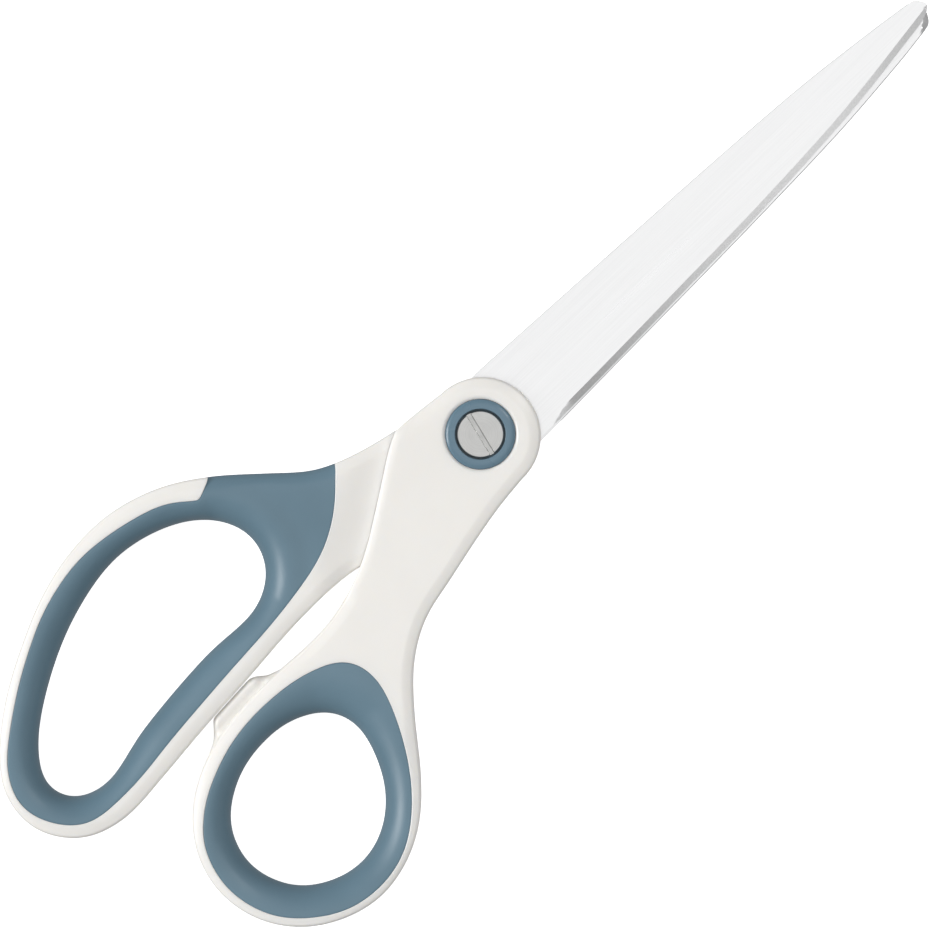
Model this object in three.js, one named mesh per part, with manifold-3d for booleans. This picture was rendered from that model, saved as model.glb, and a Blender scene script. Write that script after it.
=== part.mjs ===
// Office scissors, 205 mm long: two ground steel blades, each moulded into a white plastic handle with a
// soft blue grip, held together by a slotted pivot screw that runs in a sleeve nut.
//
// Frame: millimetres. The scissors lie flat and closed. The origin is on the pivot axis, on the plane the
// scissors rest on. +Y runs along the blades to the tips, +Z is up and +X is to the right seen from above.
// The front half carries the thumb loop and the upper blade, the rear half the finger loop and lower blade.

import * as THREE from 'three';
import { mergeVertices } from 'three/addons/utils/BufferGeometryUtils.js';
import Module from 'manifold-3d';

const wasm = await Module();
wasm.setup();

// ---- driving dimensions -------------------------------------------------------------------------------

const THICKNESS = 10;          // handles, from the rest plane to their top
const MID = THICKNESS / 2;     // plane in which the two halves slide on each other
const BLADE = 1.5;             // blade sheet
const BLADE_GAP = 0.3;         // between the two blades, filled by the washer at the pivot
const FIT = 0.3;               // gap between pieces that are assembled face to face
const SLIDE = 0.35;            // gap between the two halves where they pass each other
const SKIN = 0.1;              // gap above and below a tang in its pocket
const PAST = 1;                // how far a cutting tool runs past the faces that it cuts
const FAR = 60;                // half width of a tool that cuts everything on one side
const SAME_POINT = 0.2;        // points of an outline closer than this are one point

const FRONT_TIP = 104.5;       // Y of the front blade's tip
const REAR_TIP = 103.7;        // the rear blade is a little shorter
const EDGE_BEVEL = 1.1;        // width of the ground bevel, seen from above
const EDGE_LAND = 0.2;         // thickness left at the cutting edge
const BARREL_FIT = 0.15;       // gap between a blade's bore and the nut's barrel

const FRONT_BOSS = { x: 0.4, r: 9.9 };     // round end of the front handle, just off the pivot axis
const REAR_BOSS = { x: 0.15, r: 9.35 };    // the rear one is hidden behind it
const COLLAR = { r: 5.9, bore: 4.25, ledgeBore: 3.0, ledge: 1.3, stand: 0.2, round: 0.3 };
const NUT = { headR: 4.0, head: 1.8, round: 0.2, barrelR: 2.7, barrelTop: 7.6, bore: 1.95, floor: 1.0 };
const SCREW = { headR: 3.9, head: 1.8, chamfer: 0.4, shankR: 1.75, top: 10.3, slot: 0.8, slotDeep: 0.9 };
const SLOT_TURN = -12.6;       // degrees from +X to the screw slot
const WASHER = { r: 5.4, bore: 3.0, thick: 0.26 };
const SPRING = { r: 3.8, bore: 2.2, thick: 0.4, lift: 0.02 };

const HANDLE_ROUND = 1.5;      // rounding of the handles' edges
const GRIP_ROUND = { wide: 2.6, deep: 3.4 };   // rounding of a grip towards the finger opening
const GRIP_SINK = 0.3;         // grip faces below the handle faces
const TONGUE = { deep: 1.3, thick: 3 };        // rib of the handle that keys into the grip
const ANCHOR = 1.3;            // radius of the plastic pin through a tang
const NUB_SINK = 1.6;          // faces of the closing stop below the handle's faces
const STEP = 2.4;              // spacing of points along a curved outline

const frontBladeZ = MID + BLADE_GAP / 2;
const frontCoverZ = frontBladeZ + BLADE;

// ---- outlines, in the XY plane ------------------------------------------------------------------------

// The front handle, from the left end of its boss round the thumb loop and back up the neck.
const thumbSide = [
  [10.3, 0], [11, -6], [12.4, -13], [14.3, -21], [16, -28], [20, -34.6], [26, -40.3], [35, -47.3],
  [40.2, -52.6], [43.4, -58.6], [44.7, -65.5], [43.3, -72.3], [39.5, -78.7], [33.6, -83.2], [26, -85],
  [18.6, -83.5], [12.5, -79.1], [8.4, -73], [6.3, -66.5], [5.5, -59.5], [5.3, -53], [5.6, -45.5],
  [5, -38.5], [2, -29.7], [-4, -20], [-9.5, -11.8], [-10.3, -9.9],
];
const thumbBossSide = [[-10.3, -9.9], [-10.1, -6], [-9.5, 0]];

// The rear handle: its boss is under the front one, and its neck runs down to the finger loop.
const fingerSide = [
  [-9.2, 0], [-9.7, -6], [-10.6, -11], [-12.3, -18], [-15, -24.5], [-20, -30.4], [-26.4, -37.9],
  [-31, -45.5], [-33.6, -55], [-33.2, -65], [-31, -73], [-28.1, -79.5], [-23.5, -87.8], [-17.9, -94.9],
  [-12.3, -99.3], [-7, -100.4], [-2.5, -99.6], [3, -95.2], [5.4, -88], [4.8, -79], [3.6, -68], [2.6, -56],
  [1.6, -45], [1.5, -35], [2.2, -29.5], [5.6, -21], [9.4, -12.5], [10.3, -9.9],
];
const fingerBossSide = [[10.3, -9.9], [10.1, -6], [9.5, 0]];

const thumbGripLine = [
  [17, -41], [12, -42.6], [9, -48.5], [7.8, -57.5], [8.7, -66.5], [12.1, -75], [14.4, -78.2],
  [18.1, -81.5], [26, -83.5], [34.9, -80.8], [41.8, -72.6], [43.4, -65], [41.8, -57.6], [35.9, -50.2],
  [26, -43.8],
];
const thumbOpening = [
  [21.5, -48.9], [16.3, -50.7], [13, -56], [12.2, -61.5], [13.5, -69], [18.5, -76], [26, -78.2],
  [34, -74.7], [38.2, -66.5], [37.3, -59.3], [32, -52.8],
];

// Where the blue finger grip meets the white handle. At the shoulder the grip forms the handle's outer edge,
// so there the line runs outside the handle.
const fingerGripInner = [
  [-15.2, -19.4], [-13.4, -20.9], [-7.8, -26.5], [-4, -33], [-1.6, -44], [-0.1, -60], [1.1, -72],
  [2.5, -84.5], [1.3, -93.8], [-7, -99], [-13.5, -97], [-20.2, -89.5], [-26, -80.3], [-29.7, -72],
  [-31.4, -61.5], [-28.2, -46.7], [-25.2, -42.4],
];
const fingerGripHook = [[-25.2, -42.4], [-26.4, -37.9], [-29, -35.8]];
const fingerPadEdge = [[-29, -35.8], [-22.4, -28.2], [-15.2, -19.4]];
const fingerOpening = [
  [-14, -39.8], [-8.5, -41.8], [-5, -47.5], [-5, -59], [-3.3, -75.5], [-1, -86.5], [-3.2, -92],
  [-7.8, -93.7], [-13.2, -90.6], [-19.5, -82.5], [-25.2, -70.5], [-27.4, -58], [-24.3, -47],
  [-19.5, -41.6],
];

// Rib of the rear handle inside the shoulder pad, closing the ring of white plastic round the loop.
const shoulderRib = [
  [-11.2, -22], [-14.6, -27.6], [-18.8, -31.6], [-24.8, -38.6], [-28, -44.6], [-26.4, -45.4],
  [-22.2, -40], [-16.6, -34.2], [-12, -30.4], [-8.6, -25],
];

// The closing stop on the thumb loop that meets the rear handle.
const stopNub = [
  [7.5, -50], [5.4, -51.6], [4.6, -54.1], [3.4, -55.6], [3, -56.8], [3.65, -65.6], [4.8, -66.7],
  [6.3, -68.2], [7.4, -70.4], [8.5, -71.5],
];

// Diagonal edges of the two necks, from the boss down, where each half passes over or under the other.
const frontNeckEdge = [[-10.3, -9.9], [-9.5, -11.8], [-4, -20], [2, -29.7], [3.4, -33]];
const rearNeckEdge = [[10.3, -9.9], [9.4, -12.5], [5.6, -21], [2.2, -29.5], [1.5, -33]];

// Front blade: spine from the heel to the tip, and cutting edge from the tip back to the heel.
const spine = [[-7.9, 8], [-7.35, 24], [-6.05, 60], [-5, 80], [-4.05, 90], [-3.4, 96]];
const edge = [[1.3, 101.5], [2.1, 96], [3, 90], [4.2, 80], [5.6, 60], [6.4, 40], [7.1, 22], [7.5, 8]];
const heel = [7.42, 11.5];     // where the ground bevel leaves the cutting edge
const tipFromTop = [[-2.65, 2.5], [-2.3, 1.2], [-1.4, 0.4], [-0.4, 0], [0.5, 0.8]];
// Tangs, each with the place of its anchor hole; the rear one as it is before it is turned over.
const frontTang = {
  line: [
    [7.9, -4], [8.6, -12], [10.6, -20], [12.6, -28], [11.6, -31.6], [8, -31.8], [5.5, -28], [1, -21],
    [-3, -15], [-6.5, -9], [-7.9, -4],
  ],
  anchor: [9.2, -27.5],
};
const rearTang = {
  line: [
    [7.9, -4], [8.2, -12], [7.5, -18], [5.3, -24], [2.9, -30], [1.6, -32.6], [-0.2, -31], [-0.9, -27],
    [-3, -20], [-6, -13], [-7.9, -4],
  ],
  anchor: [1.8, -24.5],
};

// ---- curves and solids --------------------------------------------------------------------------------

// Points along one smooth curve through the given ones.
function smooth(points, closed = false) {
  const vectors = points.map(([x, y]) => new THREE.Vector3(x, y, 0));
  const curve = new THREE.CatmullRomCurve3(vectors, closed, 'centripetal');
  const count = Math.max(2, Math.round(curve.getLength() / STEP));
  const spaced = curve.getSpacedPoints(count).map((p) => [p.x, p.y]);
  return closed ? spaced.slice(0, -1) : spaced;
}

function arc(x, r, fromDegrees, toDegrees) {
  const count = Math.round((r * Math.abs(toDegrees - fromDegrees) * Math.PI) / 180 / STEP);
  return Array.from({ length: count + 1 }, (_, i) => {
    const a = THREE.MathUtils.degToRad(fromDegrees + ((toDegrees - fromDegrees) * i) / count);
    return [x + r * Math.cos(a), r * Math.sin(a)];
  });
}

// One closed outline from runs that follow each other; a point shared by two runs is kept once.
function join(...runs) {
  const near = (p, q) => Math.hypot(p[0] - q[0], p[1] - q[1]) < SAME_POINT;
  const points = [];
  for (const point of runs.flat()) {
    if (!points.length || !near(point, points[points.length - 1])) points.push(point);
  }
  while (near(points[0], points[points.length - 1])) points.pop();
  return points;
}

const vectors2 = (points) => points.map(([x, y]) => new THREE.Vector2(x, y));
const isClockWise = (points) => THREE.ShapeUtils.isClockWise(vectors2(points));

// The outline moved outwards by a distance, or inwards when it is negative.
function grow(points, distance) {
  const turn = isClockWise(points) ? -1 : 1;
  return points.map((point, i) => {
    const before = points[(i + points.length - 1) % points.length];
    const after = points[(i + 1) % points.length];
    const n1 = new THREE.Vector2(point[1] - before[1], before[0] - point[0]).normalize();
    const n2 = new THREE.Vector2(after[1] - point[1], point[0] - after[0]).normalize();
    const normal = n1.clone().add(n2).normalize();
    const miter = (turn * distance) / Math.max(0.5, normal.dot(n1));
    return [point[0] + normal.x * miter, point[1] + normal.y * miter];
  });
}

const mirrored = (points) => points.map(([x, y]) => [-x, y]);

// A flat plate with the given outline, holes and levels; its edges are rounded when round is given.
function plate(points, bottom, top, holes = [], round = null) {
  const shape = new THREE.Shape(vectors2(isClockWise(points) ? [...points].reverse() : points));
  shape.holes = holes.map((hole) => new THREE.Path(vectors2(hole)));
  const deep = round ? round.deep : 0;
  const geometry = new THREE.ExtrudeGeometry(shape, {
    depth: top - bottom - 2 * deep,
    bevelEnabled: Boolean(round),
    bevelSize: round?.wide,
    bevelOffset: round ? -round.wide : 0,
    bevelThickness: deep,
    bevelSegments: 2,
  });
  return solid(geometry.translate(0, 0, bottom + deep));
}

// A turned piece about the pivot axis, from [radius, z] points.
function turned(profile, segments = 32) {
  const points = profile.map(([r, z]) => new THREE.Vector2(r, z));
  return solid(new THREE.LatheGeometry(points, segments).rotateX(Math.PI / 2));
}

function cylinder(r, bottom, top, x = 0, y = 0, segments = 24) {
  const geometry = new THREE.CylinderGeometry(r, r, top - bottom, segments).rotateX(Math.PI / 2);
  return solid(geometry.translate(x, y, (bottom + top) / 2));
}

function solid(geometry) {
  const bare = geometry.index ? geometry.toNonIndexed() : geometry;
  bare.deleteAttribute('normal');
  bare.deleteAttribute('uv');
  const merged = mergeVertices(bare, 1e-4);
  const mesh = new wasm.Mesh({
    numProp: 3,
    vertProperties: Float32Array.from(merged.attributes.position.array),
    triVerts: Uint32Array.from(merged.index.array),
  });
  return new wasm.Manifold(mesh);
}

function mesh(name, body, colour, roughness, metalness) {
  const { vertProperties, triVerts } = body.getMesh();
  const geometry = new THREE.BufferGeometry();
  geometry.setAttribute('position', new THREE.BufferAttribute(vertProperties, 3));
  geometry.setIndex(new THREE.BufferAttribute(triVerts, 1));
  geometry.computeVertexNormals();
  const material = new THREE.MeshStandardMaterial({ color: colour, roughness, metalness });
  const result = new THREE.Mesh(geometry, material);
  result.name = name;
  return result;
}

// The rear half is designed like the front half and turned over about the Y axis.
const turnedOver = (body) => body.transform([-1, 0, 0, 0, 0, 1, 0, 0, 0, 0, -1, 0, 0, 0, THICKNESS, 1]);

// ---- blades -------------------------------------------------------------------------------------------

// Everything above the ground bevel: one long tilted block for each stretch of the cutting edge. Each runs
// a little into the next, and the first one past the tip.
function bevelCutters() {
  const tilt = Math.atan2(BLADE - EDGE_LAND, EDGE_BEVEL);
  const block = { across: 8, high: 4, overlap: 0.02 };
  const line = [...edge.slice(0, -1), heel];
  return line.slice(1).map(([x1, y1], i) => {
    const [x0, y0] = line[i];
    const length = Math.hypot(x1 - x0, y1 - y0) + (i === 0 ? block.high : block.overlap);
    const box = new THREE.BoxGeometry(block.across, length, block.high);
    box.translate(0, i === 0 ? block.high / 2 : 0, block.high / 2);
    box.rotateY(tilt);
    box.rotateZ(Math.atan2(x1 - x0, y0 - y1));
    return solid(box.translate((x0 + x1) / 2, (y0 + y1) / 2, frontBladeZ + EDGE_LAND));
  });
}

function blade(tip, tang) {
  const point = tipFromTop.map(([x, down]) => [x, tip - down]);
  const outline = join(smooth([...spine, point[0]]), point, smooth(edge), smooth(tang.line));
  let body = plate(outline, frontBladeZ, frontCoverZ);
  for (const cutter of bevelCutters()) body = body.subtract(cutter);
  body = body.subtract(cylinder(NUT.barrelR + BARREL_FIT, 0, THICKNESS));
  return body.subtract(cylinder(ANCHOR + FIT, 0, THICKNESS, ...tang.anchor));
}

// ---- handles ------------------------------------------------------------------------------------------

// Pocket for the tang and the buried end of the blade, with the moulded pin through the tang's hole.
function tangPocket(tang) {
  const top = frontCoverZ + SKIN;
  const bottom = frontBladeZ - SKIN;
  const outline = join([[-7.9, 12], [-7.9, -3]], smooth(tang.line).reverse(), [[7.9, -3], [7.9, 12]]);
  const pin = cylinder(ANCHOR, 0, THICKNESS, ...tang.anchor);
  return plate(grow(outline, FIT), bottom, top).subtract(pin);
}

// Space under the front half, from the pivot down to the edge of the rear neck, in which that neck turns.
function freeSpace(neckEdge) {
  const line = neckEdge.map(([x, y]) => [x + SLIDE, y - SLIDE]);
  const [endX, endY] = line[line.length - 1];
  const outline = [[FAR, FAR], [-FAR, FAR], [-FAR, endY], [endX, endY], ...line.reverse().slice(1)];
  outline.push([FAR, neckEdge[0][1] - SLIDE]);
  return plate(outline, -PAST, frontBladeZ);
}

function counterbore() {
  return cylinder(COLLAR.r + FIT, frontCoverZ - PAST, THICKNESS + PAST, 0, 0, 32);
}

function thumbHandle() {
  const boss = arc(FRONT_BOSS.x, FRONT_BOSS.r, 180, 0);
  const outline = join(boss, smooth(thumbSide), smooth(thumbBossSide));
  const gripLine = smooth(thumbGripLine, true);
  const round = { wide: HANDLE_ROUND, deep: HANDLE_ROUND };
  const nub = plate(stopNub, NUB_SINK, THICKNESS - NUB_SINK);
  const hole = plate(gripLine, -PAST, THICKNESS + PAST);
  return plate(outline, 0, THICKNESS, [], round)
    .add(nub)
    .subtract(hole)
    .add(tongue(gripLine))
    .subtract(freeSpace(rearNeckEdge))
    .subtract(tangPocket(frontTang))
    .subtract(counterbore());
}

// The rib round the inside of a handle's ring, at mid height.
function tongue(gripLine, clearance = 0) {
  const half = TONGUE.thick / 2 + clearance;
  const inside = grow(gripLine, -TONGUE.deep - clearance);
  return plate(grow(gripLine, FIT), MID - half, MID + half, [inside]);
}

function fingerOutline() {
  return join(arc(REAR_BOSS.x, REAR_BOSS.r, 0, 180), smooth(fingerSide), smooth(fingerBossSide));
}

const fingerGripLine = () => join(smooth(fingerGripInner), smooth(fingerGripHook), smooth(fingerPadEdge));

// Rib and shoulder rib of the rear handle; with a clearance, the room that they need in the grip.
function fingerRibs(clearance = 0) {
  const half = TONGUE.thick / 2 + clearance;
  const inset = plate(grow(fingerOutline(), -TONGUE.deep), 0, THICKNESS);
  const shoulder = plate(grow(smooth(shoulderRib, true), clearance), MID - half, MID + half);
  return tongue(fingerGripLine(), clearance).intersect(inset).add(shoulder);
}

function fingerHandle() {
  const round = { wide: HANDLE_ROUND, deep: HANDLE_ROUND };
  const hole = plate(fingerGripLine(), -PAST, THICKNESS + PAST);
  return plate(fingerOutline(), 0, THICKNESS, [], round)
    .subtract(hole)
    .add(fingerRibs())
    .subtract(turnedOver(freeSpace(mirrored(frontNeckEdge))))
    .subtract(turnedOver(tangPocket(rearTang)))
    .subtract(turnedOver(counterbore()));
}

// ---- grips --------------------------------------------------------------------------------------------

// A soft ring: straight towards the handle, rounded towards the opening.
function gripRing(gripLine, opening) {
  const outer = grow(gripLine, GRIP_ROUND.wide + PAST);
  const ring = plate(outer, GRIP_SINK, THICKNESS - GRIP_SINK, [opening], GRIP_ROUND);
  return ring.intersect(plate(grow(gripLine, -FIT), 0, THICKNESS));
}

function thumbGrip() {
  const gripLine = smooth(thumbGripLine, true);
  return gripRing(gripLine, smooth(thumbOpening, true)).subtract(tongue(gripLine, FIT));
}

function fingerGrip() {
  const gripLine = fingerGripLine();
  const round = { wide: HANDLE_ROUND, deep: HANDLE_ROUND };
  const outside = plate(fingerOutline(), 0, THICKNESS, [], round);
  return gripRing(gripLine, smooth(fingerOpening, true)).intersect(outside).subtract(fingerRibs(FIT));
}

// ---- pivot --------------------------------------------------------------------------------------------

// Cup-shaped collar in a handle's counterbore: a ledge on the blade and a rim round the screw or nut.
function collar(top) {
  const bottom = frontCoverZ + SKIN;
  const ledge = bottom + COLLAR.ledge;
  return turned([
    [COLLAR.ledgeBore, bottom], [COLLAR.r, bottom], [COLLAR.r, top - COLLAR.round],
    [COLLAR.r - COLLAR.round, top], [COLLAR.bore + COLLAR.round, top], [COLLAR.bore, top - COLLAR.round],
    [COLLAR.bore, ledge], [COLLAR.ledgeBore, ledge], [COLLAR.ledgeBore, bottom],
  ]);
}

function pivotNut() {
  const { headR, head, round, barrelR, barrelTop, bore, floor } = NUT;
  return turned([
    [0, 0], [headR - round, 0], [headR, round], [headR, head], [barrelR, head], [barrelR, barrelTop],
    [bore, barrelTop], [bore, floor], [0, floor],
  ]);
}

function pivotScrew() {
  const { headR, head, chamfer, shankR, top, slot, slotDeep } = SCREW;
  const under = top - head;
  const body = turned([
    [0, NUT.floor + FIT], [shankR, NUT.floor + FIT], [shankR, under], [headR, under],
    [headR, top - chamfer], [headR - chamfer, top], [0, top],
  ]);
  const groove = new THREE.BoxGeometry(3 * headR, slot, 2 * slotDeep);
  groove.rotateZ(THREE.MathUtils.degToRad(SLOT_TURN)).translate(0, 0, top);
  return body.subtract(solid(groove));
}

function washer(bore, r, bottom, top) {
  return turned([[bore, bottom], [r, bottom], [r, top], [bore, top], [bore, bottom]]);
}

// ---- the scissors -------------------------------------------------------------------------------------

const WHITE = 0xeeece8;
const BLUE = 0x6b8391;
const COLLAR_BLUE = 0x7d94a3;
const STEEL = 0xc9cacb;
const springZ = frontCoverZ + SKIN + COLLAR.ledge + SPRING.lift;
const washerZ = MID - WASHER.thick / 2;
const collarTop = THICKNESS + COLLAR.stand;

const frontHalf = new THREE.Group();
frontHalf.add(
  mesh('front_blade', blade(FRONT_TIP, frontTang), STEEL, 0.3, 1),
  mesh('thumb_handle', thumbHandle(), WHITE, 0.4, 0),
  mesh('thumb_grip', thumbGrip(), BLUE, 0.6, 0),
  mesh('front_collar', collar(collarTop), COLLAR_BLUE, 0.35, 0),
);

const rearHalf = new THREE.Group();
rearHalf.add(
  mesh('rear_blade', turnedOver(blade(REAR_TIP, rearTang)), STEEL, 0.3, 1),
  mesh('finger_handle', fingerHandle(), WHITE, 0.4, 0),
  mesh('finger_grip', fingerGrip(), BLUE, 0.6, 0),
  mesh('rear_collar', turnedOver(collar(THICKNESS)), COLLAR_BLUE, 0.35, 0),
  mesh('pivot_nut', pivotNut(), STEEL, 0.35, 1),
  mesh('blade_washer', washer(WASHER.bore, WASHER.r, washerZ, washerZ + WASHER.thick), WHITE, 0.4, 0),
);

const pivot = new THREE.Group();
pivot.add(
  mesh('pivot_screw', pivotScrew(), STEEL, 0.35, 1),
  mesh('spring_washer', washer(SPRING.bore, SPRING.r, springZ, springZ + SPRING.thick), STEEL, 0.3, 1),
);

const scissors = new THREE.Group();
scissors.add(rearHalf, frontHalf, pivot);

export default scissors;
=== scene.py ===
"""Office scissors lying closed on a white table, seen from straight above.

Lengths inside this script are millimetres in the frame of the part; meshes are made in metres.
"""

import math

import bmesh
import bpy
import numpy as np
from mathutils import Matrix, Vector
from mathutils.geometry import delaunay_2d_cdt


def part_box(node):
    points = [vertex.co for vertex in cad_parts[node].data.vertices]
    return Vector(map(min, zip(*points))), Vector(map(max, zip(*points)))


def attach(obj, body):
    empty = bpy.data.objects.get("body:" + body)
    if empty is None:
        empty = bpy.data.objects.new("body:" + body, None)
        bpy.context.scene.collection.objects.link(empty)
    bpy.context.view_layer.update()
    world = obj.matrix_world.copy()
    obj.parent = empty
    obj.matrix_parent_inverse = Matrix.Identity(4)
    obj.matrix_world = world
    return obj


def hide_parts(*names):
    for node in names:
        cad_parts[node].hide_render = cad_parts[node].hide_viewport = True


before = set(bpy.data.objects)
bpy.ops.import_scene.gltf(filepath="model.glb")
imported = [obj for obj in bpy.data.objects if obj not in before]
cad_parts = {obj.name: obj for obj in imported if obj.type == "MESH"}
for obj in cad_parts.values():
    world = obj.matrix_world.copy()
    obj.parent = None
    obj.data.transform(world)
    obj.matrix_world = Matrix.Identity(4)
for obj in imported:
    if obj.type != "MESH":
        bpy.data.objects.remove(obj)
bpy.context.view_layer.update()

MM = 0.001


def levels(node):
    """Lowest and highest Z of a CAD node, in millimetres."""
    low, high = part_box(node)
    return round(low.z / MM, 3), round(high.z / MM, 3)


# ---- sizes, from the frame ---------------------------------------------------------------------------

HANDLE_LOW, HANDLE_HIGH = levels("thumb_handle")
MID = (HANDLE_LOW + HANDLE_HIGH) / 2
HALF = (HANDLE_HIGH - HANDLE_LOW) / 2
FRONT_LOW, FRONT_HIGH = levels("front_blade")
FRONT_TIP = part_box("front_blade")[1].y / MM
REAR_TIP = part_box("rear_blade")[1].y / MM
COLLAR_LOW, COLLAR_HIGH = levels("front_collar")
COLLAR_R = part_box("front_collar")[1].x / MM
SCREW_HIGH = levels("pivot_screw")[1]
SCREW_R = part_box("pivot_screw")[1].x / MM
NUT_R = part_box("pivot_nut")[1].x / MM

FRONT_BOSS = 0.4, 9.9       # X of the centre and radius
REAR_BOSS = 0.15, 9.35
SLIDE = 0.03                # gap between the halves where they pass each other
TANG_GAP = 0.12             # gap round a tang in its pocket
COLLAR_GAP = 0.08           # gap round a collar in its counterbore

FLANK_WIDE = 2.0            # sloping flank of the handles, up to its crease
FLANK_LEAST = 0.8
FLANK_SHARE = 0.9           # share of a narrow rim that is flank
FLANK_RISE = 0.6
FLANK_POWER = 1.3           # above 1, a flank is steeper towards the side wall
EDGE_ROUND = 0.42           # rounding between a flank and the side wall
EDGE_DEEP = 0.5
LIP_WIDE = 0.15             # rounding where a handle meets its grip
LIP_DEEP = 0.06
BORE_LIP_WIDE = 0.25        # rounding of the rim round a collar
BORE_LIP_DEEP = 0.3
NECK_BLEND = 1.0, 3.0       # distances from the front neck's edge over which its flank changes
NECK_NARROWER = 0.35
NECK_SHARPER = 0.8
NECK_FALL = 1.3             # how far the rear neck's top falls beside the front handle
NECK_FALL_WIDE = 8
NECK_FALL_Y = -44, -31
REAR_FLANK_Y = -48, -40     # Y over which the rear flank stops following the grip
REAR_FLANK_MORE = 8         # enough to give the flank its full width above there

GRIP_LOWER = 0.08           # a grip's top below the handle's
GRIP_LIP_WIDE = 0.2
GRIP_LIP_DEEP = 0.12
PAD_ROUND = 3.0             # rounding of the shoulder pad's outer edge
PAD_DEEP = 2.4
THUMB_ROLL = 7.0            # longest slope of a grip from its flat top down into the opening
FINGER_ROLL = 4.7
THUMB_VALLEY = 0.15         # depth of the shallow valley past that slope
FINGER_VALLEY = 0.25
VALLEY_DOWN = 0, 3          # distances past the slope over which the valley falls, then rises again
VALLEY_UP = 3, 7
VALLEY_REGAIN = 0.6

NUB_HALF = 3.8              # half thickness of the closing stop's ridge
NUB_ROUND = 0.8             # rounding of its rim
NUB_DEEP = 0.9              # depth of that rounding, and of the shelf beside the ridge
NUB_RIDGE = 1.1, 2.6        # distances from the ridge line over which the shelf falls
NUB_FILLET_WIDE = 1.3
NUB_FILLET_RISE = 0.4

BEVEL = 1.1                 # ground bevel seen from above
LAND = 0.2                  # thickness left at the cutting edge
RUN_OUT_Y = 15.5            # where the bevel starts to run out towards the heel
RUN_OUT_LONG = 5.3
BACK_BREAK_WIDE = 0.08      # broken edge along the back of a blade
BACK_BREAK_DEEP = 0.05
CHAMFER_WIDE = 0.12         # chamfer of the flat face along the back of a blade
CHAMFER_SLOPE = 0.6
CHAMFER_FROM_Y = 12
TIP_CHAMFER = 0.75          # how much wider the rear blade's chamfer is at the tip
TIP_CHAMFER_DOWN = 3.2, 1.9  # distances below the tip over which it widens
BLADE_BORE_R = 2.85

COLLAR_BORE_R = 4.25
COLLAR_LEDGE_R = 3.0        # bore of the ledge that the screw head presses on
COLLAR_LEDGE = 1.3          # height of the ledge
COLLAR_ROUND_WIDE = 1.2     # outer rounding, a quarter ellipse
COLLAR_ROUND_HIGH = 0.5
COLLAR_BORE_ROUND = 0.15
HEAD_HIGH = 1.8             # the screw's head
SHANK_R = 1.75
SHANK_LOW = 1.3
SLOT_TURN = -12.6           # degrees
SLOT_LONG = 18
SLOT_FLOOR = 0.32, -0.6     # half width, and height above the head's top
SLOT_MOUTH = 0.5, 0.15

STEP = 0.6                  # spacing of points along an outline
FINE_STEP = 0.4             # along a grip's edge and the closing stop
BLADE_STEP = 1.0
NOSE_STEP = 0.15            # round a blade's tip
SPAN_POINTS = 24            # points on a curve between two given points
DOUBLED = 0.1               # points nearer than this are one
SEGMENTS = 128              # of a turned piece
HANDLE_GRID = 1.4           # spacing of points in the middle of a surface
GRIP_GRID = 0.8
NUB_GRID = 0.5
BLADE_GRID = 3.0

# ---- outlines, the same as the CAD part's --------------------------------------------------------------

THUMB_SIDE = [
    (10.3, 0), (11, -6), (12.4, -13), (14.3, -21), (16, -28), (20, -34.6), (26, -40.3), (35, -47.3),
    (40.2, -52.6), (43.4, -58.6), (44.7, -65.5), (43.3, -72.3), (39.5, -78.7), (33.6, -83.2), (26, -85),
    (18.6, -83.5), (12.5, -79.1), (8.4, -73), (6.3, -66.5), (5.5, -59.5), (5.3, -53), (5.6, -45.5),
    (5, -38.5), (2, -29.7), (-4, -20), (-9.5, -11.8), (-10.3, -9.9),
]
THUMB_BOSS_SIDE = [(-10.3, -9.9), (-10.1, -6), (-9.5, 0)]
FINGER_SIDE = [
    (-9.2, 0), (-9.7, -6), (-10.6, -11), (-12.3, -18), (-15, -24.5), (-20, -30.4), (-26.4, -37.9),
    (-31, -45.5), (-33.6, -55), (-33.2, -65), (-31, -73), (-28.1, -79.5), (-23.5, -87.8), (-17.9, -94.9),
    (-12.3, -99.3), (-7, -100.4), (-2.5, -99.6), (3, -95.2), (5.4, -88), (4.8, -79), (3.6, -68),
    (2.6, -56), (1.6, -45), (1.5, -35), (2.2, -29.5), (5.6, -21), (9.4, -12.5), (10.3, -9.9),
]
FINGER_BOSS_SIDE = [(10.3, -9.9), (10.1, -6), (9.5, 0)]
THUMB_GRIP_LINE = [
    (17, -41), (12, -42.6), (9, -48.5), (7.8, -57.5), (8.7, -66.5), (12.1, -75), (14.4, -78.2),
    (18.1, -81.5), (26, -83.5), (34.9, -80.8), (41.8, -72.6), (43.4, -65), (41.8, -57.6), (35.9, -50.2),
    (26, -43.8),
]
THUMB_OPENING = [
    (21.5, -48.9), (16.3, -50.7), (13, -56), (12.2, -61.5), (13.5, -69), (18.5, -76), (26, -78.2),
    (34, -74.7), (38.2, -66.5), (37.3, -59.3), (32, -52.8),
]
FINGER_GRIP_INNER = [
    (-13.4, -20.9), (-7.8, -26.5), (-4, -33), (-1.6, -44), (-0.1, -60), (1.1, -72), (2.5, -84.5),
    (1.3, -93.8), (-7, -99), (-13.5, -97), (-20.2, -89.5), (-26, -80.3), (-29.7, -72), (-31.4, -61.5),
    (-28.3, -46.6), (-25.7, -43.2), (-24.65, -41.9),
]
FINGER_GRIP_HOOK = [(-24.65, -41.9), (-24.8, -40.8), (-25.8, -39.3), (-26.4, -37.9)]
FINGER_OPENING = [
    (-14, -39.8), (-8.5, -41.8), (-5, -47.5), (-5, -59), (-3.3, -75.5), (-1, -86.5), (-3.2, -92),
    (-7.8, -93.7), (-13.2, -90.6), (-19.5, -82.5), (-25.2, -70.5), (-27.4, -58), (-24.3, -47),
    (-19.5, -41.6),
]
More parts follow.
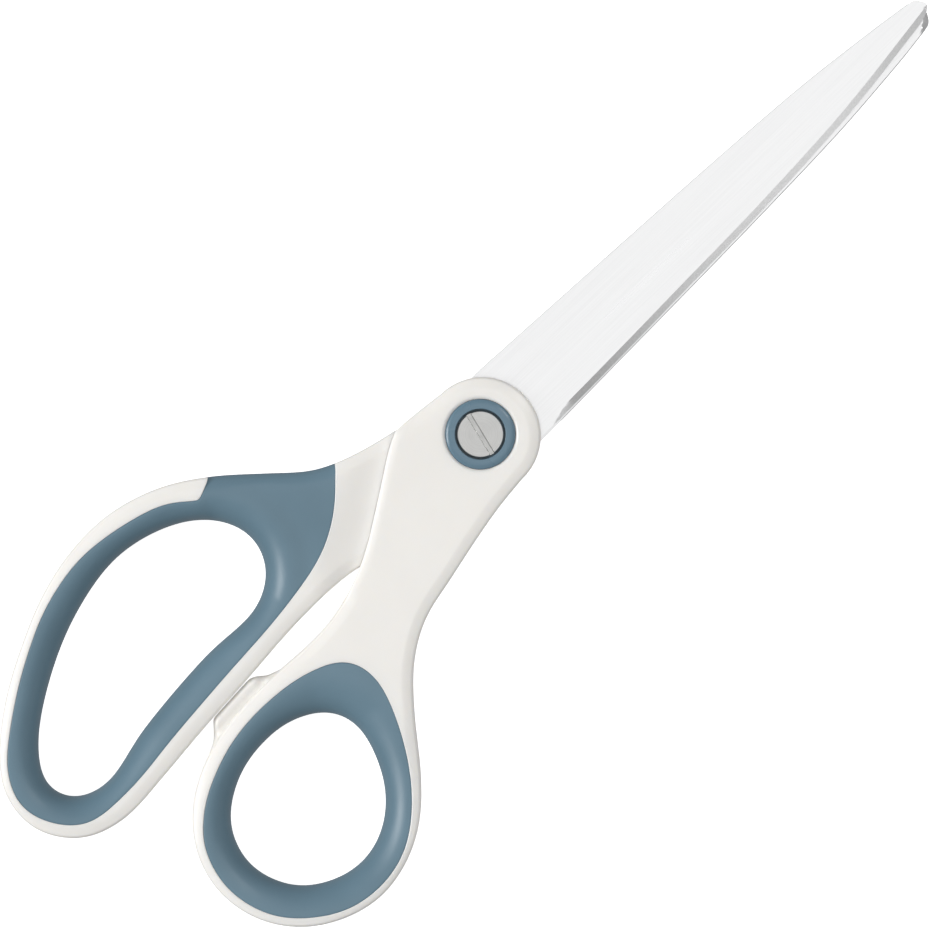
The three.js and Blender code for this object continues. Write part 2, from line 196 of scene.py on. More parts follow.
STOP_NUB = [
    (7.5, -50), (5.4, -51.6), (4.6, -54.1), (3.4, -55.6), (2.85, -56.8), (3.5, -65.6), (4.8, -66.7),
    (6.3, -68.2), (7.4, -70.4), (8.5, -71.5),
]
FRONT_NECK_ENDS = (-10.3, -9.9), (3.4, -33)
REAR_NECK_ENDS = (10.3, -9.9), (1.5, -33)
SPINE = [(-7.9, 8), (-7.35, 24), (-6.05, 60), (-5, 80), (-4.05, 90), (-3.4, 96)]
EDGE = [(1.3, 101.5), (2.1, 96), (3, 90), (4.2, 80), (5.6, 60), (6.4, 40), (7.1, 22), (7.5, 8)]
EDGE_PAST_TIP = (0.7, 105.6)
TIP_FROM_TOP = [(-2.65, 2.5), (-2.3, 1.2), (-1.4, 0.4), (-0.4, 0), (0.5, 0.8)]
FRONT_TANG = [
    (7.9, -4), (8.6, -12), (10.6, -20), (12.6, -28), (11.6, -31.6), (8, -31.8), (5.5, -28), (1, -21),
    (-3, -15), (-6.5, -9), (-7.9, -4),
]
REAR_TANG = [
    (7.9, -4), (8.2, -12), (7.5, -18), (5.3, -24), (2.9, -30), (1.6, -32.6), (-0.2, -31), (-0.9, -27),
    (-3, -20), (-6, -13), (-7.9, -4),
]

# ---- curves in the plane -------------------------------------------------------------------------------


def centripetal(points, closed):
    """Dense points on the centripetal Catmull-Rom curve through the given points."""
    p = np.array(points, float)
    if closed:
        p = np.vstack([p[-1], p, p[0], p[1]])
    else:
        p = np.vstack([2 * p[0] - p[1], p, 2 * p[-1] - p[-2]])
    t = np.linspace(0, 1, SPAN_POINTS, endpoint=False)[:, None]
    pieces = []
    for a, b, c, d in zip(p[:-3], p[1:-2], p[2:-1], p[3:]):
        ab, bc, cd = (math.sqrt(np.linalg.norm(v)) for v in (b - a, c - b, d - c))
        m1 = bc * ((b - a) / ab - (c - a) / (ab + bc) + (c - b) / bc)
        m2 = bc * ((c - b) / bc - (d - b) / (bc + cd) + (d - c) / cd)
        pieces.append(b + t * m1 + t**2 * (3 * (c - b) - 2 * m1 - m2) + t**3 * (2 * (b - c) + m1 + m2))
    return np.vstack(pieces + [p[1] if closed else p[-2]])


def spaced(points, step=STEP):
    """The polyline cut into equal steps, its ends kept."""
    along = np.r_[0, np.cumsum(np.linalg.norm(np.diff(points, axis=0), axis=1))]
    marks = np.linspace(0, along[-1], max(3, round(along[-1] / step) + 1))
    return np.column_stack([np.interp(marks, along, points[:, i]) for i in (0, 1)])


def fair(points, reach=1.8):
    """Evens out the curvature of an equally spaced run; its ends stay."""
    step = np.linalg.norm(points[1] - points[0])
    count = min(int(3 * reach / step), len(points) - 2)
    kernel = np.exp(-0.5 * (np.arange(-count, count + 1) * step / reach) ** 2)
    kernel /= kernel.sum()
    before = 2 * points[0] - points[count:0:-1]
    after = 2 * points[-1] - points[-2:-2 - count:-1]
    padded = np.vstack([before, points, after])
    return np.column_stack([np.convolve(padded[:, i], kernel, "valid") for i in (0, 1)])


def run(points, step=STEP):
    """One smooth open outline."""
    return fair(spaced(centripetal(points, False), step))


def loop(points, step=STEP):
    """One smooth closed outline, its first point not repeated."""
    line = spaced(centripetal(points, True), step)[:-1]
    count = len(line)
    return fair(np.vstack([line, line, line[:1]]))[count // 2:count // 2 + count]


def arc(x, r, start, end, step=STEP):
    """Part of a circle centred on the X axis, between two angles in degrees."""
    count = max(4, round(abs(math.radians(end - start)) * r / step))
    a = np.radians(np.linspace(start, end, count + 1))
    return np.column_stack([x + r * np.cos(a), r * np.sin(a)])


def join(*runs):
    """One closed outline from runs that follow each other, without doubled points."""
    points = np.vstack(runs)
    apart = np.linalg.norm(points - np.roll(points, 1, axis=0), axis=1) > DOUBLED
    return points[apart]


def area(points):
    x, y = points[:, 0], points[:, 1]
    return 0.5 * float(np.sum(x * np.roll(y, -1) - y * np.roll(x, -1)))


def ccw(points):
    points = np.array(points, float)
    return points if area(points) > 0 else points[::-1]


def inward(points):
    """Unit normals of a counter-clockwise outline, pointing in."""
    before, after = np.roll(points, 1, axis=0), np.roll(points, -1, axis=0)
    n1 = np.column_stack([before[:, 1] - points[:, 1], points[:, 0] - before[:, 0]])
    n2 = np.column_stack([points[:, 1] - after[:, 1], after[:, 0] - points[:, 0]])
    n = n1 / np.linalg.norm(n1, axis=1)[:, None] + n2 / np.linalg.norm(n2, axis=1)[:, None]
    return n / np.linalg.norm(n, axis=1)[:, None]


def grow(points, distance):
    """The outline moved outwards."""
    points = ccw(points)
    return points - inward(points) * distance


def gap(points, line, closed=True):
    """Distance from each point to a polyline."""
    a = np.asarray(line, float)
    b = np.roll(a, -1, axis=0)
    if not closed:
        a, b = a[:-1], b[:-1]
    ab = b - a
    length2 = np.maximum((ab**2).sum(1), 1e-12)
    result = np.empty(len(points))
    batch = 1000
    for i in range(0, len(points), batch):
        p = points[i:i + batch, None, :]
        t = np.clip(((p - a) * ab).sum(2) / length2, 0, 1)
        result[i:i + batch] = np.sqrt((((a + t[..., None] * ab) - p) ** 2).sum(2).min(1))
    return result


def inside(points, loops):
    """Even-odd test of each point against the outline and its holes."""
    odd = np.zeros(len(points), bool)
    for line in loops:
        a, b = line, np.roll(line, -1, axis=0)
        for (x0, y0), (x1, y1) in zip(a, b):
            if y0 == y1:
                continue
            crosses = (y0 > points[:, 1]) != (y1 > points[:, 1])
            odd ^= crosses & (points[:, 0] < x0 + (points[:, 1] - y0) * (x1 - x0) / (y1 - y0))
    return odd


def smoothstep(x, low, high):
    """0 below low and 1 above high, with a smooth rise between them."""
    t = np.clip((x - low) / (high - low), 0, 1)
    return t * t * (3 - 2 * t)


# ---- meshes --------------------------------------------------------------------------------------------


def add_object(name, points, faces):
    mesh = bpy.data.meshes.new(name)
    mesh.from_pydata([tuple(float(v) * MM for v in p) for p in points], [], faces)
    mesh.update()
    obj = bpy.data.objects.new(name, mesh)
    bpy.context.scene.collection.objects.link(obj)
    return obj


def relief(name, outline, holes, top, bottom, rings, grid, creases=()):
    """A closed solid over a flat region: top(points) and bottom(points) give its two surfaces.

    Points lie on the outline, on rings at the given distances inside it, and on a grid further in.
    Creases are polylines that the surface follows with an edge.
    """
    tolerance = 0.02
    row_pitch = 0.87
    loops = [ccw(outline)] + [ccw(hole)[::-1] for hole in holes]
    plane = [p for line in loops for p in line]
    edges = []
    start = 0
    for line in loops:
        edges += [(start + i, start + (i + 1) % len(line)) for i in range(len(line))]
        start += len(line)
    for line in creases:
        edges += [(start + i, start + i + 1) for i in range(len(line) - 1)]
        plane += list(line)
        start += len(line)
    offsets = [line + inward(line) * d for d in rings for line in loops]
    marks = np.repeat(rings, sum(len(line) for line in loops))
    if len(rings):
        inner = np.vstack(offsets)
        depth = np.min([gap(inner, line) for line in loops], axis=0)
        keep = (depth > marks - tolerance) & inside(inner, loops)
        plane += list(inner[keep])
    low, high = loops[0].min(0), loops[0].max(0)
    xs, ys = np.arange(low[0], high[0], grid), np.arange(low[1], high[1], grid * row_pitch)
    field = np.array([(x + grid / 2 * (j % 2), y) for j, y in enumerate(ys) for x in xs])
    field = field[inside(field, loops)]
    limit = (rings[-1] if len(rings) else 0) + grid / 2
    field = field[np.min([gap(field, line) for line in loops], axis=0) > limit]
    plane += list(field)
    verts, _, faces, *_ = delaunay_2d_cdt([Vector(p) for p in plane], edges, [], 0, 1e-4)
    flat = np.array([(v.x, v.y) for v in verts])
    tri = np.array(faces)
    tri = tri[inside(flat[tri].mean(1), loops)]
    a, b, c = flat[tri[:, 0]], flat[tri[:, 1]], flat[tri[:, 2]]
    turn = (b[:, 0] - a[:, 0]) * (c[:, 1] - a[:, 1]) - (b[:, 1] - a[:, 1]) * (c[:, 0] - a[:, 0])
    tri[turn < 0] = tri[turn < 0][:, ::-1]
    used = np.unique(tri)
    flat, tri = flat[used], np.searchsorted(used, tri)
    count = len(flat)
    sides = {(int(t[i]), int(t[(i + 1) % 3])) for t in tri for i in range(3)}
    rim = [(i, j) for i, j in sides if (j, i) not in sides]
    points = np.vstack([np.column_stack([flat, top(flat)]), np.column_stack([flat, bottom(flat)])])
    faces = [tuple(map(int, t)) for t in tri] + [tuple(int(i) + count for i in t[::-1]) for t in tri]
    faces += [(j, i, i + count, j + count) for i, j in sorted(rim)]
    return add_object(name, points, faces)


def prism(outline, low, high):
    """A closed tool for a boolean, straight from the low Z to the high Z."""
    line = ccw(outline)
    count = len(line)
    points = [(x, y, z) for z in (low, high) for x, y in line]
    faces = [tuple(range(count))[::-1], tuple(range(count, 2 * count))]
    faces += [(i, (i + 1) % count, (i + 1) % count + count, i + count) for i in range(count)]
    return add_object("tool", points, faces)


def lathe(name, profile):
    """A turned solid about the pivot axis, from (radius, z) points that run anticlockwise."""
    points, faces, rows = [], [], []
    for r, z in profile:
        ring = 1 if r < 1e-6 else SEGMENTS
        rows.append([len(points) + i for i in range(ring)])
        for i in range(ring):
            a = 2 * math.pi * i / SEGMENTS
            points.append((r * math.cos(a), r * math.sin(a), z))
    for low, high in zip(rows, rows[1:] + rows[:1]):
        if len(low) == 1 and len(high) == 1:
            continue
        for i in range(SEGMENTS):
            j = (i + 1) % SEGMENTS
            corners = [low[i % len(low)], low[j % len(low)], high[j % len(high)], high[i % len(high)]]
            faces.append(tuple(dict.fromkeys(corners)))
    return add_object(name, points, faces)


def combine(obj, tool, operation="DIFFERENCE"):
    """Cuts or joins with another closed solid, which is used up."""
    modifier = obj.modifiers.new("cut", "BOOLEAN")
    modifier.operation = operation
    modifier.solver = "MANIFOLD"
    modifier.object = tool
    depsgraph = bpy.context.evaluated_depsgraph_get()
    mesh = bpy.data.meshes.new_from_object(obj.evaluated_get(depsgraph))
    obj.modifiers.clear()
    obj.data = mesh
    bpy.data.objects.remove(tool)
    return obj


def finish_mesh(obj, angle):
    """Smooth shading with sharp edges where faces meet at more than the angle."""
    touching = 1e-7
    work = bmesh.new()
    work.from_mesh(obj.data)
    bmesh.ops.remove_doubles(work, verts=work.verts, dist=touching)
    bmesh.ops.dissolve_degenerate(work, edges=work.edges, dist=touching)
    limit = math.radians(angle)
    for face in work.faces:
        face.smooth = True
    for edge in work.edges:
        edge.smooth = not edge.is_manifold or edge.calc_face_angle(0) < limit
    work.to_mesh(obj.data)
    work.free()
    return obj


def turn_over(obj):
    """Rear pieces are made like front ones, then turned over about the Y axis."""
    for vertex in obj.data.vertices:
        vertex.co.x = -vertex.co.x
        vertex.co.z = 2 * MID * MM - vertex.co.z
    return obj


# ---- materials -----------------------------------------------------------------------------------------


GRAIN_HEIGHT = 0.00002      # metres, of every bump
NOISE_RANGE = 0.3, 0.7      # most of a noise texture's values lie in it


def new_material(name):
    material = bpy.data.materials.new(name)
    material.use_nodes = True
    tree = material.node_tree
    return material, tree, tree.nodes["Principled BSDF"]


def add_node(tree, kind, settings=None, **inputs):
    """A shader node with its settings, and its inputs linked or set; _ in a name stands for a space."""
    node = tree.nodes.new(kind)
    for key, value in (settings or {}).items():
        setattr(node, key, value)
    for key, value in inputs.items():
        socket = node.inputs[key.replace("_", " ")]
        if isinstance(value, bpy.types.NodeSocket):
            tree.links.new(value, socket)
        else:
            socket.default_value = value
    return node


def object_noise(tree, scale, stretch=(1, 1, 1), detail=3.0, roughness=0.5):
    """Noise in the part's own coordinates, stretched along the axes where the factor is small."""
    where = add_node(tree, "ShaderNodeTexCoord").outputs["Object"]
    mapped = add_node(tree, "ShaderNodeMapping", Vector=where, Scale=stretch)
    noise = add_node(tree, "ShaderNodeTexNoise", Vector=mapped.outputs["Vector"], Scale=scale,
                     Detail=detail, Roughness=roughness)
    return noise.outputs["Fac"]


def spread(tree, factor, low, high):
    """The noise mapped onto values from low to high."""
    node = add_node(tree, "ShaderNodeMapRange", Value=factor, From_Min=NOISE_RANGE[0],
                    From_Max=NOISE_RANGE[1], To_Min=low, To_Max=high)
    return node.outputs["Result"]


def tint(tree, factor, dark, light):
    """The noise mapped onto colours from dark to light."""
    ramp = add_node(tree, "ShaderNodeValToRGB", Fac=factor)
    for element, position, color in zip(ramp.color_ramp.elements, NOISE_RANGE, (dark, light)):
        element.position = position
        element.color = (*color, 1)
    return ramp.outputs["Color"]


def bump(tree, shader, height, strength):
    node = add_node(tree, "ShaderNodeBump", Height=height, Strength=strength, Distance=GRAIN_HEIGHT)
    tree.links.new(node.outputs["Normal"], shader.inputs["Normal"])


def moulded_plastic(name, dark, light, roughness, grain, depth=0.0):
    """Plastic with faint broad mottling and a fine moulded grain; depth is how far light gets in."""
    material, tree, shader = new_material(name)
    if depth:
        shader.inputs["Subsurface Weight"].default_value = 0.35
        shader.inputs["Subsurface Radius"].default_value = (1.0, 0.9, 0.75)
        shader.inputs["Subsurface Scale"].default_value = depth
    broad = object_noise(tree, 60)
    fine = object_noise(tree, 2600, detail=2.0)
    tree.links.new(tint(tree, broad, dark, light), shader.inputs["Base Color"])
    gloss = object_noise(tree, 140, detail=1.0)
    tree.links.new(spread(tree, gloss, roughness - 0.02, roughness + 0.03), shader.inputs["Roughness"])
    bump(tree, shader, fine, grain)
    return material


def brushed_blade():
    """Steel brushed along the blade, duller on the ground faces, where the grain runs across."""
    material, tree, shader = new_material("blade_steel")
    grain = object_noise(tree, 5000, stretch=(1, 0.01, 1), detail=4.0, roughness=0.7)
    broad = object_noise(tree, 260, stretch=(1, 0.05, 1), detail=2.0)
    shader.inputs["Metallic"].default_value = 1.0
    polished = tint(tree, grain, (0.775, 0.777, 0.78), (0.825, 0.827, 0.83))
    ground = add_node(tree, "ShaderNodeAttribute", {"attribute_name": "ground"}).outputs["Fac"]
    wheel = object_noise(tree, 3000, stretch=(0.02, 1, 1), detail=3.0)
    dull = tint(tree, wheel, (0.74, 0.742, 0.744), (0.84, 0.842, 0.844))
    mixed = add_node(tree, "ShaderNodeMixRGB", Fac=ground, Color1=polished, Color2=dull)
    tree.links.new(mixed.outputs["Color"], shader.inputs["Base Color"])
    tree.links.new(spread(tree, broad, 0.27, 0.31), shader.inputs["Roughness"])
    bump(tree, shader, grain, 0.12)
    return material


def turned_steel():
    """Satin steel with fine rings about the pivot axis."""
    material, tree, shader = new_material("screw_steel")
    where = add_node(tree, "ShaderNodeTexCoord").outputs["Object"]
    flat = add_node(tree, "ShaderNodeVectorMath", {"operation": "MULTIPLY"})
    tree.links.new(where, flat.inputs[0])
    flat.inputs[1].default_value = (1, 1, 0)
    radius = add_node(tree, "ShaderNodeVectorMath", {"operation": "LENGTH"})
    tree.links.new(flat.outputs["Vector"], radius.inputs[0])
    rings = add_node(tree, "ShaderNodeTexNoise", {"noise_dimensions": "1D"}, W=radius.outputs["Value"],
                     Scale=9000.0, Detail=3.0)
    shader.inputs["Metallic"].default_value = 1.0
    tree.links.new(tint(tree, rings.outputs["Fac"], (0.50, 0.50, 0.49), (0.58, 0.58, 0.57)),
                   shader.inputs["Base Color"])
    tree.links.new(spread(tree, object_noise(tree, 900), 0.32, 0.42), shader.inputs["Roughness"])
    bump(tree, shader, rings.outputs["Fac"], 0.15)
    return material


WHITE = moulded_plastic("white_plastic", (0.848, 0.830, 0.795), (0.878, 0.860, 0.825), 0.31, 0.12,
                        depth=0.002)
BLUE = moulded_plastic("grip_rubber", (0.112, 0.192, 0.247), (0.132, 0.220, 0.281), 0.41, 0.35)
COLLAR = moulded_plastic("collar_plastic", (0.112, 0.192, 0.252), (0.127, 0.213, 0.277), 0.27, 0.1)
WASHER = moulded_plastic("washer_plastic", (0.76, 0.76, 0.74), (0.8, 0.8, 0.78), 0.5, 0.1)
BLADE_STEEL = brushed_blade()
SCREW_STEEL = turned_steel()

# ---- shared outlines -----------------------------------------------------------------------------------

thumb_line = ccw(join(arc(*FRONT_BOSS, 180, 0), run(THUMB_SIDE), run(THUMB_BOSS_SIDE)))
finger_line = join(arc(*REAR_BOSS, 0, 180), run(FINGER_SIDE), run(FINGER_BOSS_SIDE))
thumb_grip_line = loop(THUMB_GRIP_LINE)
finger_grip_inner = run(FINGER_GRIP_INNER)
finger_grip_hook = run(FINGER_GRIP_HOOK, FINE_STEP)
thumb_opening = loop(THUMB_OPENING)
finger_opening = loop(FINGER_OPENING)


def nearest(line, point):
    return int(np.argmin(np.linalg.norm(line - np.array(point), axis=1)))


def stretch(line, ends):
    """The part of an outline between two of its points, from the upper one down."""
    first, last = sorted(nearest(line, end) for end in ends)
    part = line[first:last + 1]
    return part if part[0, 1] > part[-1, 1] else part[::-1]


front_neck_edge = stretch(thumb_line, FRONT_NECK_ENDS)
rear_neck_edge = stretch(finger_line, REAR_NECK_ENDS)

# The shoulder pad's stretch of the rear handle's outline, from its top end to its bottom end.
pad_top = nearest(finger_line, FINGER_GRIP_INNER[0])
pad_bottom = nearest(finger_line, FINGER_GRIP_HOOK[-1])
finger_grip_inner[0] = finger_line[pad_top]
finger_grip_hook[-1] = finger_line[pad_bottom]
finger_pad = finger_line[pad_top:pad_bottom + 1]
finger_grip_edge = np.vstack([finger_grip_inner, finger_grip_hook[1:]])
finger_grip_edge = fair(spaced(finger_grip_edge, FINE_STEP), reach=0.5)
finger_white = join(finger_line[pad_bottom:], finger_line[:pad_top], finger_grip_edge)
finger_blue = join(finger_grip_edge, finger_pad[::-1])

# ---- shapes of the surfaces ----------------------------------------------------------------------------


def flank(distance, wide, edge_deep=EDGE_DEEP):
    """Half thickness of a handle at a distance inside its outline."""
    u = np.clip(distance / wide, 0, 1)
    slope = FLANK_RISE * wide / FLANK_WIDE * (1 - u) ** FLANK_POWER
    rounding = edge_deep * np.clip(1 - distance / EDGE_ROUND, 0, 1) ** 2
    return HALF - slope - rounding


def lip(distance):
    """Small rounding where a handle meets its grip."""
    return LIP_DEEP * np.clip(1 - distance / LIP_WIDE, 0, 1) ** 2


def thumb_half(points):
    """Half thickness of the front handle."""
    outer, line = gap(points, thumb_line), gap(points, thumb_grip_line)
    beside_neck = 1 - smoothstep(gap(points, front_neck_edge, closed=False), *NECK_BLEND)
    wide = np.clip(FLANK_SHARE * (outer + line), FLANK_LEAST, FLANK_WIDE)
    wide = wide * (1 - NECK_NARROWER * beside_neck)
    return flank(outer, wide, EDGE_DEEP * (1 - NECK_SHARPER * beside_neck)) - lip(line)


def finger_half(points):
    """Half thickness of the rear handle."""
    outer, line = gap(points, finger_line), gap(points, finger_grip_edge, closed=False)
    more = REAR_FLANK_MORE * smoothstep(points[:, 1], *REAR_FLANK_Y)
    wide = np.clip(FLANK_SHARE * (outer + line) + more, FLANK_LEAST, FLANK_WIDE)
    return flank(outer, wide) - lip(line)


def neck_fall(points):
    """The rear neck's top falls a little towards the front handle that lies beside it."""
    near = 1 - smoothstep(gap(points, front_neck_edge, closed=False), 0, NECK_FALL_WIDE)
    return NECK_FALL * near * smoothstep(points[:, 1], *NECK_FALL_Y)


def roll(points, opening, line, closed, longest, valley):
    """Half thickness of a grip: round into the opening, then a shallow valley where the grip is wide."""
    inner, outer = gap(points, opening), gap(points, line, closed)
    crest = np.minimum(inner + outer, longest)
    u = np.clip(inner / crest, 0, 1)
    body = (HALF - GRIP_LOWER) * np.sqrt(np.clip(1 - (1 - u) ** 2, 0, 1))
    past = np.clip(inner - crest, 0, None)
    dip = valley * smoothstep(past, *VALLEY_DOWN) * (1 - VALLEY_REGAIN * smoothstep(past, *VALLEY_UP))
    return body - dip - GRIP_LIP_DEEP * np.clip(1 - outer / GRIP_LIP_WIDE, 0, 1) ** 2


def pad_round(points):
    """Half thickness of the shoulder pad near its outer edge."""
    u = np.clip(gap(points, finger_pad, closed=False) / PAD_ROUND, 0, 1)
    return HALF - GRIP_LOWER - PAD_DEEP * (1 - np.sqrt(1 - (1 - u) ** 2))


# ---- handles and grips ---------------------------------------------------------------------------------

# Distances inside an outline at which a surface gets rings of points.
RINGS = [0.04, 0.1, 0.18, 0.28, 0.4, 0.55, 0.8, 1.1, 1.4, 1.65, 1.85, 2.0, 2.3]
GRIP_RINGS = [0.04, 0.1, 0.2, 0.35, 0.55, 0.8, 1.1, 1.5, 2.0, 2.5, 3.0]
NUB_RINGS = [0.1, 0.25, 0.45, 0.7, 0.9]
BLADE_RINGS = [0.06, 0.15, 0.3, 0.6, 1.0]
BORE_RINGS = [0.1, 0.3, 0.5, 0.8]


def free_space(neck_edge):
    """Space under the front half, down to the edge of the rear neck, in which that neck turns."""
    far = 60
    above = 40
    line = neck_edge + (SLIDE, -SLIDE)
    end = line[-1]
    outline = [(far, above), (-far, above), (-far, end[1]), *line[::-1], (far, line[0][1])]
    return prism(outline, -1, FRONT_LOW)


def tang_pocket(tang):
    """Room for a tang in its handle, open towards the blade."""
    half, low, high = 7.9, -3, 12
    left, right = np.array([(-half, high), (-half, low)]), np.array([(half, low), (half, high)])
    outline = join(left, run(tang)[::-1], right)
    over = 0.05
    return prism(grow(outline, TANG_GAP), FRONT_LOW - over, FRONT_HIGH + over)


def counterbore():
    """Room for a collar, down to the blade."""
    return prism(bore_ring(COLLAR_R + COLLAR_GAP), FRONT_HIGH - 1, HANDLE_HIGH + 1)


def bore_edge(points):
    """Small rounding of the rim round the collar."""
    distance = np.clip(np.linalg.norm(points, axis=1) - COLLAR_R - COLLAR_GAP, 0, None)
    return BORE_LIP_DEEP * np.exp(-((distance / BORE_LIP_WIDE) ** 2))


def bore_ring(r):
    """A circle about the pivot axis, its first point not repeated."""
    return arc(0, r, 0, 360)[:-1]


def make_nub():
    """The closing stop: a low shelf with a ridge along the rear handle, sinking towards the thumb loop."""
    line = spaced(np.array(STOP_NUB + STOP_NUB[:1], float), FINE_STEP)
    line = ccw(fair(line, reach=0.35)[:-1])
    ridge = STOP_NUB[4:6]

    def half(points):
        rounding = np.clip(1 - gap(points, line) / NUB_ROUND, 0, 1) ** 2
        fall = smoothstep(gap(points, ridge, closed=False), *NUB_RIDGE)
        shelf = NUB_HALF - NUB_DEEP * rounding - NUB_DEEP * fall
        beside_loop = np.clip(1 - gap(points, thumb_line) / NUB_FILLET_WIDE, 0, 1)
        return shelf + NUB_FILLET_RISE * beside_loop**2

    return relief("nub", line, [], lambda p: MID + half(p), lambda p: MID - half(p), NUB_RINGS, NUB_GRID)


def make_thumb_handle():
    def half(points):
        return thumb_half(points) - bore_edge(points)

    rings = [bore_ring(COLLAR_R + distance) for distance in BORE_RINGS]
    rings = [np.vstack([ring, ring[:1]]) for ring in rings]
    body = relief("thumb_handle_shell", thumb_line, [thumb_grip_line], lambda p: MID + half(p),
                  lambda p: MID - half(p), RINGS, HANDLE_GRID, rings)
    combine(body, make_nub(), "UNION")
    combine(body, free_space(rear_neck_edge))
    combine(body, tang_pocket(FRONT_TANG))
    return combine(body, counterbore())


def make_finger_handle():
    def top(points):
        return MID + finger_half(points) - neck_fall(points)

    def bottom(points):
        return MID - finger_half(points) + bore_edge(points)

    body = relief("finger_handle_shell", finger_white, [], top, bottom, RINGS, HANDLE_GRID)
    combine(body, turn_over(free_space(front_neck_edge * (-1, 1))))
    combine(body, turn_over(tang_pocket(REAR_TANG)))
    return combine(body, turn_over(counterbore()))


def make_thumb_grip():
    def half(points):
        return roll(points, thumb_opening, thumb_grip_line, True, THUMB_ROLL, THUMB_VALLEY)

    return relief("thumb_grip_soft", thumb_grip_line, [thumb_opening], lambda p: MID + half(p),
                  lambda p: MID - half(p), GRIP_RINGS, GRIP_GRID)


def make_finger_grip():
    def half(points):
        rolled = roll(points, finger_opening, finger_grip_edge, False, FINGER_ROLL, FINGER_VALLEY)
        return np.minimum(rolled, pad_round(points))

    return relief("finger_grip_soft", finger_blue, [finger_opening], lambda p: MID + half(p),
                  lambda p: MID - half(p), GRIP_RINGS, GRIP_GRID)


# ---- blades --------------------------------------------------------------------------------------------


def mark_ground(obj):
    """Marks the sloping faces that a grinding wheel left, for the blade material."""
    steepest, flattest = 0.3, 0.97
    ground = obj.data.attributes.new("ground", "FLOAT", "FACE")
    for face, mark in zip(obj.data.polygons, ground.data):
        mark.value = steepest < abs(face.normal.z) < flattest
    return obj


def make_blade(name, tip, tang, tip_chamfer):
    """A blade as it lies in the front half: outer face up, ground bevel along the cutting edge."""
    point = [(x, tip - down) for x, down in TIP_FROM_TOP]
    spine, edge = run(SPINE + [point[0]], BLADE_STEP), run(EDGE, BLADE_STEP)
    nose = fair(spaced(centripetal(point, False), NOSE_STEP), reach=0.12)
    heel = spaced(np.array([EDGE[-1], tang[0]]), BLADE_STEP)
    back = spaced(np.array([tang[-1], SPINE[0]]), BLADE_STEP)
    outline = ccw(join(spine, nose, edge, heel, run(tang, BLADE_STEP), back))
    whole_edge = run([EDGE_PAST_TIP] + EDGE, BLADE_STEP)
    back_edge = np.vstack([spine, nose[:-4]])
    side = np.vstack([back, spine])

    def run_out(points):
        """The grinding wheel leaves the edge in a curve at the heel."""
        return BEVEL * np.clip((RUN_OUT_Y - points[:, 1]) / RUN_OUT_LONG, 0, 2) ** 2

    def top(points):
        depth = np.clip((gap(points, whole_edge, closed=False) + run_out(points)) / BEVEL, 0, 1)
        broken = np.clip(1 - gap(points, side, closed=False) / BACK_BREAK_WIDE, 0, 1)
        return FRONT_LOW + LAND + (FRONT_HIGH - FRONT_LOW - LAND) * depth - BACK_BREAK_DEEP * broken

    def bottom(points):
        """Flat, with a narrow chamfer along the spine that may widen round the tip."""
        distance = gap(points, back_edge, closed=False)
        from_low, to_high = (tip - down for down in TIP_CHAMFER_DOWN)
        wide = CHAMFER_WIDE + tip_chamfer * smoothstep(points[:, 1], from_low, to_high)
        return FRONT_LOW + CHAMFER_SLOPE * (wide - distance).clip(0) * (points[:, 1] > CHAMFER_FROM_Y)

    # The crease at the top of the bevel: the edge shifted towards the spine by the bevel's width, up to
    # where the bevel has nearly run out. Its first points, past the tip, are dropped.
    far_side = [(-30, 8), (-30, 104)]
    least = 0.05
    normals = inward(np.vstack([whole_edge, far_side]))[:len(whole_edge)]
    normals *= -np.sign(normals[10, 0])
    shift = BEVEL - run_out(whole_edge)
    crease = (whole_edge + normals * shift[:, None])[shift > least][2:]
    crease = crease[inside(crease, [outline])]
    blade = relief(name, outline, [], top, bottom, BLADE_RINGS, BLADE_GRID, [crease])
    return mark_ground(combine(blade, prism(bore_ring(BLADE_BORE_R), 0, 2 * MID)))


# ---- pivot ---------------------------------------------------------------------------------------------


def quarter(r, z, radius, start):
    """Points of a quarter round, centred at (r, z), from a start angle in degrees, anticlockwise."""
    angles = np.radians(np.linspace(start, start + 90, 6))
    return [(r + radius * math.cos(a), z + radius * math.sin(a)) for a in angles]


def make_collar(name, top):
    """A collar as it lies in the front half, with a rounded rim and a ledge for the screw's head."""
    bore, ledge = COLLAR_BORE_R, COLLAR_LOW + COLLAR_LEDGE
    outer = [(COLLAR_R - COLLAR_ROUND_WIDE * (1 - math.cos(a)), top - COLLAR_ROUND_HIGH * (1 - math.sin(a)))
             for a in np.linspace(0, math.pi / 2, 10)]
    inner = quarter(bore + COLLAR_BORE_ROUND, top - COLLAR_BORE_ROUND, COLLAR_BORE_ROUND, 90)
    flat = [(bore + COLLAR_BORE_ROUND + 0.1, top - 0.02)]
    return lathe(name, [(COLLAR_LEDGE_R, COLLAR_LOW), (COLLAR_R, COLLAR_LOW), *outer, *flat, *inner,
                        (bore, ledge), (COLLAR_LEDGE_R, ledge)])


def slot_tool():
    """The screw slot, a little narrower at its floor than at its mouth."""
    turn = math.radians(SLOT_TURN)
    along = np.array([math.cos(turn), math.sin(turn)])
    across = np.array([-math.sin(turn), math.cos(turn)])
    points = []
    for half_width, above in (SLOT_FLOOR, SLOT_MOUTH):
        for i, j in ((-1, -1), (1, -1), (1, 1), (-1, 1)):
            x, y = along * SLOT_LONG / 2 * i + across * half_width * j
            points.append((x, y, SCREW_HIGH + above))
    sides = [(i, (i + 1) % 4, (i + 1) % 4 + 4, i + 4) for i in range(4)]
    return add_object("tool", points, [(3, 2, 1, 0), (4, 5, 6, 7), *sides])


